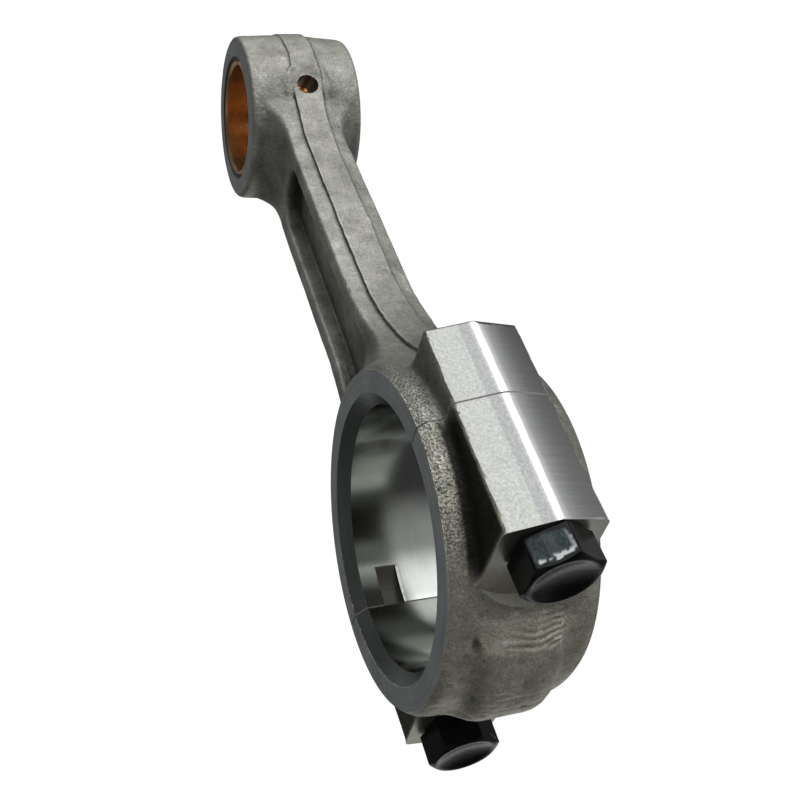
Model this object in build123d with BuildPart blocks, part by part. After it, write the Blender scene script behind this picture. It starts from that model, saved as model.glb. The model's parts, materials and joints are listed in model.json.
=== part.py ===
from build123d import *
from math import cos, radians, sin, sqrt, tan
import os

# Connecting rod of a small four-cylinder diesel engine, in millimetres.
#
# The rod lies flat. The origin is the centre of the big-end bore on the mid-plane of the rod,
# +X runs along the shank to the small end, +Z is along both bores, and the two cap bolts are
# parallel to X, one at -Y and one at +Y. The big end is split at x = 0.

# ---------------------------------------------------------------- driving dimensions
centre_distance = 152.0

housing_radius = 27.5           # bore that holds the bearing shells
big_end_width = 31.0
housing_chamfer = 2.6
thrust_radius = 34.8            # outer edge of the machined thrust face
ring_edge_radius = 36.1         # forged ring, just behind the thrust face
ring_middle_radius = 37.4       # forged ring at the mid-plane
ring_edge_depth = 1.7           # how far the forged edge stands behind the thrust face

cap_ring_radius = 36.4          # forged ring of the cap, even between the flanges
crown_centre_x = -16.7          # raised crown on the back of the cap, between the bolt seats
crown_radius = 23.7
crown_half_width = 7.0
crown_root_half_width = 10.0    # half width of the crown where it leaves the ring
crown_root_radius = 18.0        # where that is measured, from the crown's centre
crown_round = 3.2

small_end_width = 31.5
small_end_edge_radius = 22.9
small_end_middle_radius = 23.9
small_end_edge_round = 1.6
bush_outer_radius = 16.5
bush_bore_radius = 15.0
bush_recess = 0.3               # bush ends stand this far inside the small-end faces
small_end_chamfer = 0.9
bush_chamfer = 0.5

shank_half_width = 14.3         # at the mid-plane
shank_half_depth = 8.3
shank_draft = 9.0               # degrees, both ways from the mid-plane
big_end_sweep = 70.0            # radius where the shank sides sweep into the ring
small_end_sweep = 45.0
root_height = 13.6              # shank surface where it meets the ring
root_radius = 12.0
neck_height = 12.8              # shank surface where it meets the small end
neck_radius = 8.0
web_thickness = 4.6
pocket_start = 42.0
pocket_end = 117.5
pocket_wide = 11.0              # half width of the pocket floor at the big end
pocket_narrow = 7.6             # half width of the pocket floor along the shank
pocket_waist = 60.0             # where the floor reaches its narrow width
pocket_corner = 5.5
pocket_floor_round = 1.6
shank_edge_round = 1.0

flash_half_width = 3.9          # trimmed forging flash around the mid-plane
flash_height = 0.3

bolt_offset = 33.6
seat_x = -28.0                  # plane under the bolt heads
shoulder_x = 18.5               # end of each bolt boss on the rod side
ridge_at_seat = 41.4            # outermost line of the boss
ridge_at_shoulder = 43.4
facet_half_width = 10.2
facet_drop = 2.1                # each ground facet falls this much from the ridge
boss_root = 22.0                # y of the inner end of the boss block, inside the ring
boss_root_half_width = 10.5
boss_edge_round = 1.2
boss_root_round = 1.5
spot_face_radius = 14.5

clearance_radius = 5.0          # bolt hole in the cap
fitted_radius = 4.80            # reamed hole on both sides of the split
fitted_depth_cap = 8.0
fitted_depth_rod = 7.0
tapped_radius = 4.55            # M9 tapped hole, plain at the thread's outer size

bolt_hex_flats = 14.0
near_head_turn = 3.0            # degrees from +Y, where the hexagon's corners stop
far_head_turn = 15.0
bolt_head_height = 7.4
washer_face_radius = 6.7
washer_face_height = 0.5
dish_radius = 6.1
dish_depth = 1.3
head_corner_chamfer = 30.0      # degrees
bolt_waist_radius = 4.3
bolt_fitted_radius = 4.77
bolt_thread_radius = 4.5
bolt_length = 45.0              # under the head
bolt_end_chamfer = 0.9
fitted_start = -6.5             # fitted part of the bolt, across the split
fitted_end = 5.5
fitted_run_out = 0.8

tang_slot_width = 4.9
tang_slot_near_edge = 4.0       # distance of the slot from the mid-plane
tang_slot_depth = 2.0
tang_cutter_radius = 13.5

oil_hole_radius = 2.8
oil_hole_angle = 236.0          # degrees from +X, towards the big end on the -Y side
oil_pad_radius = 6.8

joint_edge = 0.2                # broken edge all round the split

# ---------------------------------------------------------------- derived dimensions
half_big = big_end_width / 2
half_small = small_end_width / 2


def sweep_distance(end_radius, sweep_radius):
    """Distance along the rod from an end's centre to where its sweep leaves the shank side."""
    return sqrt((end_radius + sweep_radius) ** 2 - (shank_half_width + sweep_radius) ** 2)


def sweep_touch(end_radius, sweep_radius):
    """Point where the sweep touches the end's circle, measured from that end's centre."""
    along = sweep_distance(end_radius, sweep_radius)
    share = end_radius / (end_radius + sweep_radius)
    return along * share, (shank_half_width + sweep_radius) * share


root_along, root_side = sweep_touch(ring_middle_radius, big_end_sweep)
neck_along, neck_side = sweep_touch(small_end_middle_radius, small_end_sweep)
root_leaves = sweep_distance(ring_middle_radius, big_end_sweep)
neck_leaves = centre_distance - sweep_distance(small_end_middle_radius, small_end_sweep)


def shank_plan():
    """Plan outline of the shank at the mid-plane, with its sweeps into both ends."""
    neck_x = centre_distance - neck_along
    with BuildSketch() as plan:
        with BuildLine():
            Polyline((root_along, root_side), (root_along, -root_side))
            TangentArc((root_leaves, -shank_half_width), (root_along, -root_side), tangent=(-1, 0))
            Line((root_leaves, -shank_half_width), (neck_leaves, -shank_half_width))
            TangentArc((neck_leaves, -shank_half_width), (neck_x, -neck_side), tangent=(1, 0))
            Line((neck_x, -neck_side), (neck_x, neck_side))
            TangentArc((neck_leaves, shank_half_width), (neck_x, neck_side), tangent=(1, 0))
            Line((neck_leaves, shank_half_width), (root_leaves, shank_half_width))
            TangentArc((root_leaves, shank_half_width), (root_along, root_side), tangent=(-1, 0))
        make_face()
    return plan.sketch


def boss_roots(big_end):
    """Edges where the long sides of the bolt bosses meet the ring."""
    beside_boss = big_end.edges().filter_by(lambda e: 9 < abs(e.center().Z) < 13 and e.length > 8)
    on_ring = beside_boss.filter_by(lambda e: 30 < abs(e.center().Y) < 38)
    return on_ring.filter_by(lambda e: 1 < abs(e.center().X) < 0.9 * shoulder_x)


def split_edges(big_end):
    """Edges that lie wholly in the plane of the split."""
    return big_end.edges().filter_by(lambda e: all(abs(v.X) < 0.01 for v in e.vertices() + [e.center()]))


oil_direction = (cos(radians(oil_hole_angle)), sin(radians(oil_hole_angle)), 0)
oil_origin = (centre_distance, 0, 0)


# ---------------------------------------------------------------- shapes shared by rod and cap
with BuildPart() as boss_pair:
    for station, ridge in ((seat_x, ridge_at_seat), (shoulder_x, ridge_at_shoulder)):
        with BuildSketch(Plane.YZ.offset(station)):
            with BuildLine():
                Polyline(
                    (boss_root, -boss_root_half_width),
                    (ridge - facet_drop, -facet_half_width),
                    (ridge, 0),
                    (ridge - facet_drop, facet_half_width),
                    (boss_root, boss_root_half_width),
                    close=True,
                )
            make_face()
    loft(ruled=True)
    long_edges = boss_pair.edges().filter_by(lambda e: abs(e.center().X + 4.75) < 1.0 and e.length > 40)
    facet_edges = long_edges.filter_by(lambda e: e.center().Y > 30 and abs(e.center().Z) > 5)
    fillet(facet_edges, radius=boss_edge_round)
    mirror(about=Plane.XZ)

with BuildPart() as housing_bore:
    with BuildSketch(Plane.XZ):
        with BuildLine():
            mouth = housing_radius + housing_chamfer
            Polyline(
                (0, -half_big), (mouth, -half_big), (housing_radius, -half_big + housing_chamfer),
                (housing_radius, half_big - housing_chamfer), (mouth, half_big), (0, half_big),
                close=True,
            )
        make_face()
    revolve(axis=Axis.Z)

# How thick the shank may be: even along its length, rising smoothly to both ends.
with BuildPart() as shank_envelope:
    with BuildSketch(Plane.XY.offset(-shank_half_depth)):
        with Locations((centre_distance / 2, 0)):
            Rectangle(centre_distance - 20, 100)
    extrude(amount=2 * shank_half_depth)
    for centre, reach, top, radius in (
        (0.0, ring_edge_radius, root_height, root_radius),
        (centre_distance, small_end_edge_radius, neck_height, neck_radius),
    ):
        rise = top - shank_half_depth
        run = sqrt(radius ** 2 - (radius - rise) ** 2)
        with BuildSketch(Plane.XZ):
            with BuildLine():
                Line((centre, 0), (centre, top))
                Line((centre, top), (centre + reach, top))
                TangentArc((centre + reach + run, shank_half_depth), (centre + reach, top),
                           tangent=(-1, 0))
                Line((centre + reach + run, shank_half_depth), (centre + reach + run, 0))
                Line((centre + reach + run, 0), (centre, 0))
            make_face()
            mirror(about=Plane.XZ)
        revolve(axis=Axis((centre, 0, 0), (0, 0, 1)))

# The space of one web pocket, standing on the web
with BuildPart() as pocket_plug:
    with BuildSketch(Plane.XY.offset(web_thickness / 2)) as pocket:
        with BuildLine():
            Polyline(
                (pocket_start, -pocket_wide), (pocket_waist, -pocket_narrow),
                (pocket_end, -pocket_narrow), (pocket_end, pocket_narrow),
                (pocket_waist, pocket_narrow), (pocket_start, pocket_wide),
                close=True,
            )
        make_face()
        fillet(pocket.vertices().sort_by(Axis.X)[:2], radius=pocket_corner)
        fillet(pocket.vertices().sort_by(Axis.X)[-2:], radius=pocket_corner)
        fillet(pocket.vertices().filter_by(lambda v: abs(v.X - pocket_waist) < 0.01), radius=40)
    extrude(amount=2 * shank_half_depth, taper=-shank_draft)
    fillet(pocket_plug.faces().sort_by(Axis.Z)[0].edges(), radius=pocket_floor_round)

# ---------------------------------------------------------------- rod body
ring_profile = [
    (boss_root + 3, -half_big),
    (thrust_radius, -half_big),
    (ring_edge_radius, -half_big + ring_edge_depth),
    (ring_middle_radius, 0),
    (ring_edge_radius, half_big - ring_edge_depth),
    (thrust_radius, half_big),
    (boss_root + 3, half_big),
]

with BuildPart() as rod_body:
    # Upper half of the shank: drafted sides, an even depth between its roots, and one pocket
    add(shank_plan())
    extrude(amount=root_height, dir=(0, 0, 1), taper=shank_draft)
    add(shank_envelope.part, mode=Mode.INTERSECT)
    add(pocket_plug.part, mode=Mode.SUBTRACT)
    top_edges = rod_body.edges().filter_by(lambda e: e.center().Z > shank_half_depth - 0.01)
    fillet(top_edges.filter_by(lambda e: abs(e.center().Y) > pocket_narrow), radius=shank_edge_round)
    mirror(about=Plane.XY)

    # Big-end ring and small-end barrel
    with BuildSketch(Plane.XZ):
        with BuildLine():
            Polyline(*ring_profile, close=True)
        make_face()
    revolve(axis=Axis.Z)
    with BuildSketch(Plane.XZ) as barrel:
        with BuildLine():
            Polyline(
                (centre_distance, -half_small),
                (centre_distance + small_end_edge_radius, -half_small),
                (centre_distance + small_end_middle_radius, 0),
                (centre_distance + small_end_edge_radius, half_small),
                (centre_distance, half_small),
                close=True,
            )
        make_face()
        rim = barrel.vertices().filter_by(lambda v: v.X > centre_distance + 1 and abs(v.Z) > 1)
        fillet(rim, radius=small_end_edge_round)
    revolve(axis=Axis((centre_distance, 0, 0), (0, 0, 1)))

    # Trimmed flash all round the mid-plane
    with BuildSketch(Plane.XY.offset(-flash_half_width)):
        Circle(ring_middle_radius)
        add(shank_plan())
        with Locations((centre_distance, 0)):
            Circle(small_end_middle_radius)
        offset(amount=flash_height)
    extrude(amount=2 * flash_half_width)

    # The flash is left wider around the oil hole
    oil_pad = Cylinder(small_end_middle_radius + flash_height, small_end_width, mode=Mode.PRIVATE)
    oil_pad &= Plane((0, 0, 0), z_dir=oil_direction) * Cylinder(
        oil_pad_radius, 2 * centre_distance, align=(Align.CENTER, Align.CENTER, Align.MIN),
        mode=Mode.PRIVATE)
    add(Pos(centre_distance, 0, 0) * oil_pad)

    # Bolt bosses, then everything below the split is taken off
    add(boss_pair.part)
    split(bisect_by=Plane.YZ, keep=Keep.TOP)
    fillet(boss_roots(rod_body), radius=boss_root_round)

    # Machined bores
    add(housing_bore.part, mode=Mode.SUBTRACT)
    with Locations((centre_distance, 0, 0)):
        Cylinder(bush_outer_radius, 2 * small_end_width, mode=Mode.SUBTRACT)
    with BuildSketch(Plane(oil_origin, z_dir=oil_direction)):
        Circle(oil_hole_radius)
    extrude(amount=small_end_middle_radius + 5, mode=Mode.SUBTRACT)
    for side in (1, -1):
        with BuildSketch(Plane.YZ):
            with Locations((side * bolt_offset, 0)):
                Circle(fitted_radius)
        extrude(amount=fitted_depth_rod, mode=Mode.SUBTRACT)
        with BuildSketch(Plane.YZ):
            with Locations((side * bolt_offset, 0)):
                Circle(tapped_radius)
        extrude(amount=shoulder_x + 10, mode=Mode.SUBTRACT)

    # Slot for the locating tang of the upper bearing shell
    with BuildSketch(Plane.XY.offset(tang_slot_near_edge)):
        with Locations((0, housing_radius + tang_slot_depth - tang_cutter_radius)):
            Circle(tang_cutter_radius)
    extrude(amount=tang_slot_width, mode=Mode.SUBTRACT)

    chamfer(split_edges(rod_body), length=joint_edge)
    bush_mouths = rod_body.edges().filter_by(GeomType.CIRCLE).filter_by(
        lambda e: abs(e.radius - bush_outer_radius) < 0.01 and abs(e.center().Z) > half_small - 0.1)
    chamfer(bush_mouths, length=small_end_chamfer)

# ---------------------------------------------------------------- bearing cap
cap_profile = [
    (boss_root + 3, -half_big),
    (thrust_radius, -half_big),
    (ring_edge_radius, -half_big + ring_edge_depth),
    (cap_ring_radius, -facet_half_width),
    (cap_ring_radius, facet_half_width),
    (ring_edge_radius, half_big - ring_edge_depth),
    (thrust_radius, half_big),
    (boss_root + 3, half_big),
]

with BuildPart() as bearing_cap:
    with BuildSketch(Plane.XZ):
        with BuildLine():
            Polyline(*cap_profile, close=True)
        make_face()
    revolve(axis=Axis.Z)

    # Crown on the back of the cap
    with BuildSketch(Plane.XZ) as crown:
        with BuildLine():
            Polyline(
                (crown_centre_x - crown_root_radius, -crown_root_half_width),
                (crown_centre_x - crown_radius, -crown_half_width),
                (crown_centre_x - crown_radius, crown_half_width),
                (crown_centre_x - crown_root_radius, crown_root_half_width),
                close=True,
            )
        make_face()
        fillet(crown.vertices().sort_by(Axis.X)[:2], radius=crown_round)
    revolve(axis=Axis((crown_centre_x, 0, 0), (0, 0, 1)))
    add(boss_pair.part)
    split(bisect_by=Plane.YZ, keep=Keep.BOTTOM)
    fillet(boss_roots(bearing_cap), radius=boss_root_round)

    # Spot faces under the bolt heads
    with BuildSketch(Plane.YZ.offset(seat_x)):
        with Locations((-bolt_offset, 0), (bolt_offset, 0)):
            Circle(spot_face_radius)
    extrude(amount=-2 * spot_face_radius, mode=Mode.SUBTRACT)

    add(housing_bore.part, mode=Mode.SUBTRACT)
    with BuildSketch(Plane.YZ):
        with Locations((-bolt_offset, 0), (bolt_offset, 0)):
            Circle(fitted_radius)
    extrude(amount=-fitted_depth_cap, mode=Mode.SUBTRACT)
    with BuildSketch(Plane.YZ.offset(-fitted_depth_cap)):
        with Locations((-bolt_offset, 0), (bolt_offset, 0)):
            Circle(clearance_radius)
    extrude(amount=seat_x, mode=Mode.SUBTRACT)

    # Slot for the locating tang of the lower bearing shell
    with BuildSketch(Plane.XY.offset(-tang_slot_near_edge)):
        with Locations((0, housing_radius + tang_slot_depth - tang_cutter_radius)):
            Circle(tang_cutter_radius)
    extrude(amount=-tang_slot_width, mode=Mode.SUBTRACT)

    chamfer(split_edges(bearing_cap), length=joint_edge)

# ---------------------------------------------------------------- small-end bush
with BuildPart() as small_end_bush:
    with Locations((centre_distance, 0, 0)):
        Cylinder(bush_outer_radius, small_end_width - 2 * bush_recess)
        Cylinder(bush_bore_radius, small_end_width, mode=Mode.SUBTRACT)
    chamfer(small_end_bush.edges().filter_by(GeomType.CIRCLE), length=bush_chamfer)
    with BuildSketch(Plane(oil_origin, z_dir=oil_direction)):
        Circle(oil_hole_radius)
    extrude(amount=small_end_middle_radius, mode=Mode.SUBTRACT)


# ---------------------------------------------------------------- cap bolts
def cap_bolt(side, head_turn):
    """One cap bolt with its head towards -X, on the given side of the big end."""
    bolt_axis = Axis((0, side * bolt_offset, 0), (1, 0, 0))
    bolt_plane = Plane((0, side * bolt_offset, 0))
    head_top = seat_x - bolt_head_height
    hex_end = seat_x - washer_face_height
    tip = seat_x + bolt_length
    corner_radius = bolt_hex_flats / 2 / cos(radians(30))
    top_radius = bolt_hex_flats / 2 - 0.3
    corner_fall = (corner_radius - top_radius) * tan(radians(head_corner_chamfer))

    with BuildPart() as bolt:
        # Hexagon, with its corners turned off around a dished top
        with BuildSketch(Plane.YZ.offset(head_top)):
            with Locations((side * bolt_offset, 0)):
                RegularPolygon(corner_radius, 6, rotation=head_turn)
        extrude(amount=hex_end - head_top)
        with BuildSketch(bolt_plane):
            with BuildLine():
                TangentArc((head_top + dish_depth, 0), (head_top, dish_radius), tangent=(0, 1))
                Polyline(
                    (head_top, dish_radius), (head_top, top_radius),
                    (head_top + corner_fall, corner_radius),
                    (hex_end, corner_radius), (hex_end, 0), (head_top + dish_depth, 0),
                )
            make_face()
        revolve(axis=bolt_axis, mode=Mode.INTERSECT)

        # Washer face, waisted shank, fitted part across the split, and the thread's outer size
        with BuildSketch(bolt_plane):
            with BuildLine():
                Polyline(
                    (hex_end - 1, 0), (hex_end - 1, bolt_waist_radius),
                    (hex_end, bolt_waist_radius), (hex_end, washer_face_radius),
                    (seat_x, washer_face_radius), (seat_x, bolt_waist_radius),
                    (fitted_start - fitted_run_out, bolt_waist_radius),
                    (fitted_start, bolt_fitted_radius), (fitted_end, bolt_fitted_radius),
                    (fitted_end + fitted_run_out, bolt_thread_radius),
                    (tip - bolt_end_chamfer, bolt_thread_radius),
                    (tip, bolt_thread_radius - bolt_end_chamfer), (tip, 0),
                    close=True,
                )
            make_face()
        revolve(axis=bolt_axis)

    return bolt.part


bolt_near = cap_bolt(-1, near_head_turn)
bolt_far = cap_bolt(1, far_head_turn)

# ---------------------------------------------------------------- write every finished piece
rod_body.part.label = "rod_body"
bearing_cap.part.label = "bearing_cap"
small_end_bush.part.label = "small_end_bush"
bolt_near.label = "bolt_near"
bolt_far.label = "bolt_far"

os.makedirs("parts", exist_ok=True)
export_step(rod_body.part, "parts/rod_body.step")
export_step(bearing_cap.part, "parts/bearing_cap.step")
export_step(small_end_bush.part, "parts/small_end_bush.step")
export_step(bolt_near, "parts/bolt_near.step")
export_step(bolt_far, "parts/bolt_far.step")
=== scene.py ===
import json
from math import cos, radians, sin

import bpy
import numpy as np
from mathutils import Matrix, Vector


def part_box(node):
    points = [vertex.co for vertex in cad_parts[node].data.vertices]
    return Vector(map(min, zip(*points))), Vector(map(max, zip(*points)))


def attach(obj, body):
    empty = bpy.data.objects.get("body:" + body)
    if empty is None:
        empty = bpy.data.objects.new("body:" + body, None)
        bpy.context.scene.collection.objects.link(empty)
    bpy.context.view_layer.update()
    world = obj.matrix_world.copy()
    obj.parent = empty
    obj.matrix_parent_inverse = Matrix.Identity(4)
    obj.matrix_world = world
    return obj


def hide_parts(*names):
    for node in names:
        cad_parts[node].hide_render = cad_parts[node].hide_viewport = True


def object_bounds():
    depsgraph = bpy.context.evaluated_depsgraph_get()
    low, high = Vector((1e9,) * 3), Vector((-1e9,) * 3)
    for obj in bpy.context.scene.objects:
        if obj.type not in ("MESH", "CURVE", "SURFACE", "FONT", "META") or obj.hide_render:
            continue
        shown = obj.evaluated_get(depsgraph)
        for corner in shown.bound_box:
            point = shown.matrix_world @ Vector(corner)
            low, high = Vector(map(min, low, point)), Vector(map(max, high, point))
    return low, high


# Looks of the connecting rod. The part lies flat: +X runs to the small end, +Z along both bores,
# and the two bolts stand at -Y (near) and +Y (far). Lengths in the mesh code are millimetres,
# and everything given to Blender is metres.
MM = 0.001

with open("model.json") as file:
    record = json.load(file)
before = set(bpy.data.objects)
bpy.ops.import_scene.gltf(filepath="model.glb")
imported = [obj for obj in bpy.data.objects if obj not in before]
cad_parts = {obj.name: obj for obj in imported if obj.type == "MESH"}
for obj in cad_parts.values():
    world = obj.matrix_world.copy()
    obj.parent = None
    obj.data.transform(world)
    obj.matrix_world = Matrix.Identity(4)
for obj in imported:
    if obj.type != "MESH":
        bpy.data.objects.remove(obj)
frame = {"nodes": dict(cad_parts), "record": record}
cad_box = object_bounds()
mounts = {m["name"]: m for m in frame["record"]["mounts"]}

# ---------------------------------------------------------------- sizes, from the frame
HOUSING_R = mounts["big_end_bore"]["dims"]["r_mm"]
CENTRES = mounts["small_end_bore"]["pos_m"][0] / MM
HALF_BIG = mounts["thrust_face_upper"]["pos_m"][2] / MM
HALF_SMALL = -mounts["small_end_face_lower"]["pos_m"][2] / MM
BUSH_OUTER_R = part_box("small_end_bush")[1].y / MM
BOLT_LOW, BOLT_HIGH = (Vector(c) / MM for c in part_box("bolt_near"))
BOLT_OFFSET = -(BOLT_LOW.y + BOLT_HIGH.y) / 2
HEAD_TOP = BOLT_LOW.x
BOLT_TIP = BOLT_HIGH.x

# Sizes that the frame doesn't state
HEAD_HEIGHT = 7.4
SEAT = HEAD_TOP + HEAD_HEIGHT       # where the heads meet the cap
MOUTH = 2.6                         # size of the chamfer at each end of the big-end bore
CHAMFER_R = HOUSING_R + MOUTH
THRUST_R = 34.8
SMALL_FACE_R = 21.6
HOLE_R = 5.05                       # every bolt hole lies within this
SPOT_FACE_R = 14.5
OIL_R = 2.9
OIL_ANGLE = radians(236)
SLOT_NEAR = 4.0                     # the tang slots' ends, as heights along the bore
SLOT_FAR = 8.9
SLOT_HALF = 9.5                     # their reach on each side of the split
SLOT_DEPTH = 2.1
SHOULDER = 18.5                     # the bosses' end on the rod
BOSS_INNER = 30                     # nearest that this end comes to the middle of the rod
RIDGE_AT_SEAT = 41.4                # the bosses' outermost line, at its two ends
RIDGE_AT_SHOULDER = 43.4
FACET_HALF = 10.2                   # half height of the ground facets
FACET_SLOPE = 2.1 / FACET_HALF      # their fall, per unit of height
FLASH_HALF = 3.9                    # half height of the trimmed flash
END_ROUND = 0.9                     # rounding between the facets and the boss's end


# ---------------------------------------------------------------- mesh helpers
def mesh_arrays(mesh):
    """Vertex positions in mm and the corners of each quad, as arrays."""
    points = np.empty(len(mesh.vertices) * 3)
    mesh.vertices.foreach_get("co", points)
    quads = np.array([p.vertices[:] for p in mesh.polygons])
    return points.reshape(-1, 3) / MM, quads


def even_copy(node, name, depth):
    """A new object with the CAD node's surface, remeshed to small even quads that keep its edges."""
    source = frame["nodes"][node]
    raw = source.data.copy()
    raw.materials.clear()
    work = bpy.data.objects.new(name, raw)
    bpy.context.scene.collection.objects.link(work)
    weld = work.modifiers.new("weld", "WELD")
    weld.merge_threshold = 1e-6
    remesh = work.modifiers.new("remesh", "REMESH")
    remesh.mode = "SHARP"
    remesh.octree_depth = depth
    remesh.scale = 0.99
    graph = bpy.context.evaluated_depsgraph_get()
    graph.update()
    made = bpy.data.meshes.new_from_object(work.evaluated_get(graph))
    work.modifiers.clear()
    work.data = made
    made.name = name
    return work


def face_normals(points, quads):
    """Unit normals of the quads, from their diagonals."""
    normal = np.cross(points[quads[:, 2]] - points[quads[:, 0]], points[quads[:, 3]] - points[quads[:, 1]])
    return normal / np.maximum(np.linalg.norm(normal, axis=1), 1e-12)[:, None]


def spread(values, quads, count):
    """Mean of the face values around each vertex."""
    total = np.zeros((count,) + values.shape[1:])
    share = np.zeros(count)
    for corner in range(4):
        np.add.at(total, quads[:, corner], values)
        np.add.at(share, quads[:, corner], 1)
    share = np.maximum(share, 1)
    return total / (share[:, None] if total.ndim > 1 else share)


def vertex_normals(points, quads):
    """Unit normals of the vertices, from the quads around them."""
    normal = spread(face_normals(points, quads), quads, len(points))
    return normal / np.maximum(np.linalg.norm(normal, axis=1), 1e-12)[:, None]


def edge_pairs(quads):
    """Every edge once, as pairs of vertex numbers."""
    pairs = np.concatenate([quads[:, [k, (k + 1) % 4]] for k in range(4)])
    return np.unique(np.sort(pairs, axis=1), axis=0)


def smooth(points, pairs, weight, steps):
    """Pull each vertex towards the mean of its neighbours, by its weight."""
    degree = np.bincount(pairs.ravel(), minlength=len(points)).astype(float)
    for _ in range(steps):
        mean = np.zeros_like(points)
        for axis in range(3):
            mean[:, axis] = np.bincount(pairs[:, 0], points[pairs[:, 1], axis], len(points))
            mean[:, axis] += np.bincount(pairs[:, 1], points[pairs[:, 0], axis], len(points))
        mean /= degree[:, None]
        points = points + (mean - points) * weight[:, None]
    return points


LATTICE = np.random.default_rng(7).uniform(-1, 1, (32, 32, 32))


def value_noise(points, size):
    """Smooth noise in -1 to 1 whose features are about size mm across."""
    place = points / size + 100.0
    cell = np.floor(place).astype(int)
    t = place - cell
    t = t * t * (3 - 2 * t)
    total = np.zeros(len(points))
    for dx in (0, 1):
        for dy in (0, 1):
            for dz in (0, 1):
                corner = LATTICE[(cell[:, 0] + dx) % 32, (cell[:, 1] + dy) % 32, (cell[:, 2] + dz) % 32]
                along = [t[:, k] if d else 1 - t[:, k] for k, d in enumerate((dx, dy, dz))]
                total += corner * along[0] * along[1] * along[2]
    return total


def step(value, low, high):
    """0 below low, 1 above high, and smooth between."""
    t = np.clip((value - low) / (high - low), 0, 1)
    return t * t * (3 - 2 * t)


# ---------------------------------------------------------------- which surface is machined
FORGED, THRUST, BORE, JOINT, HOLE, GROUND, SEAT_FACE, CHAMFER, SEAT_WALL = range(9)
ON_PLANE = 0.05                     # how far a face's middle may be from the plane it lies on
ON_ROUND = 0.1                      # and from a round surface
FLAT = 0.98                         # share of a normal along the axis of a flat face
FACET_RIM = 0.75                    # forged strip along the edges of the ground facets
JOINT_REACH = 0.21                  # the broken edge round the split counts as joint face


def ridge_at(x):
    """Distance of the boss's outermost line from the middle of the rod."""
    along = (x - SEAT) / (SHOULDER - SEAT)
    return RIDGE_AT_SEAT + (RIDGE_AT_SHOULDER - RIDGE_AT_SEAT) * along


def surface_kinds(points, quads):
    """Sort every face of the rod or cap into forged skin or one of the machined surfaces."""
    centre = points[quads].mean(axis=1)
    normal = face_normals(points, quads)
    x, y, z = centre.T
    radius = np.hypot(x, y)
    small_radius = np.hypot(x - CENTRES, y)
    bolt_radius = np.hypot(np.abs(y) - BOLT_OFFSET, z)
    across_oil = np.hypot((x - CENTRES) * sin(OIL_ANGLE) - y * cos(OIL_ANGLE), z)
    towards_oil = (x - CENTRES) * cos(OIL_ANGLE) + y * sin(OIL_ANGLE)

    kind = np.full(len(quads), FORGED)
    facing_up = np.abs(normal[:, 2]) > FLAT
    kind[facing_up & (radius < THRUST_R + ON_ROUND) & (np.abs(z) > HALF_BIG - ON_PLANE)] = THRUST
    kind[facing_up & (small_radius < SMALL_FACE_R) & (np.abs(z) > HALF_SMALL - ON_PLANE)] = THRUST
    kind[(radius < CHAMFER_R - ON_ROUND) & (np.abs(z) < HALF_BIG - ON_PLANE)] = CHAMFER
    kind[(radius < HOUSING_R + 0.12) & (np.abs(z) < HALF_BIG - (MOUTH - ON_PLANE))] = BORE
    in_small_bore = (small_radius < BUSH_OUTER_R + 1.0) & (np.abs(normal[:, 2]) < FLAT)
    kind[in_small_bore] = BORE
    kind[in_small_bore & (small_radius > BUSH_OUTER_R + ON_ROUND)] = HOLE
    outward = np.sign(y) * normal[:, 1]
    facet_level = ridge_at(x) - FACET_SLOPE * np.abs(z)
    on_boss = (x < SHOULDER + 0.5) & (np.abs(z) < FACET_HALF - FACET_RIM)
    kind[on_boss & (outward > 0.9) & (np.abs(y) > facet_level - 0.3)] = GROUND
    end_level = ridge_at(SHOULDER) - FACET_SLOPE * np.abs(z) - END_ROUND
    end_top = (x > SHOULDER - 0.1) & (np.abs(y) > end_level)
    kind[on_boss & end_top & (np.abs(y) > BOSS_INNER)] = GROUND
    kind[(across_oil < OIL_R) & (towards_oil > BUSH_OUTER_R)] = HOLE
    kind[(bolt_radius < HOLE_R) & (np.abs(normal[:, 0]) < 0.9)] = HOLE
    kind[(np.abs(x) < JOINT_REACH) & (np.abs(normal[:, 0]) > 0.5) & (kind != HOLE)] = JOINT
    spot_face = (x < SEAT + 0.02) & (bolt_radius < SPOT_FACE_R + ON_ROUND)
    in_spot_face = spot_face & (np.abs(y) > BOLT_OFFSET - SPOT_FACE_R - ON_ROUND)
    kind[in_spot_face] = SEAT_FACE
    kind[in_spot_face & (np.abs(normal[:, 0]) < 0.7)] = SEAT_WALL
    slot = (radius > HOUSING_R + ON_PLANE) & (y > 20) & (y < HOUSING_R + SLOT_DEPTH) & (np.abs(x) < SLOT_HALF)
    kind[slot & (np.abs(z) > SLOT_NEAR - ON_PLANE) & (np.abs(z) < SLOT_FAR + ON_PLANE)] = HOLE
    return kind


# ---------------------------------------------------------------- skins of the rod and the cap
RIDGE_ROUND = 0.65                  # half width of the rounded line between two ground facets
LOWER_BULGE = 0.22                  # the lower facets are slightly barrelled
FACET_EDGE = 0.6                    # the facets' last strip, which stays as it is


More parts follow.
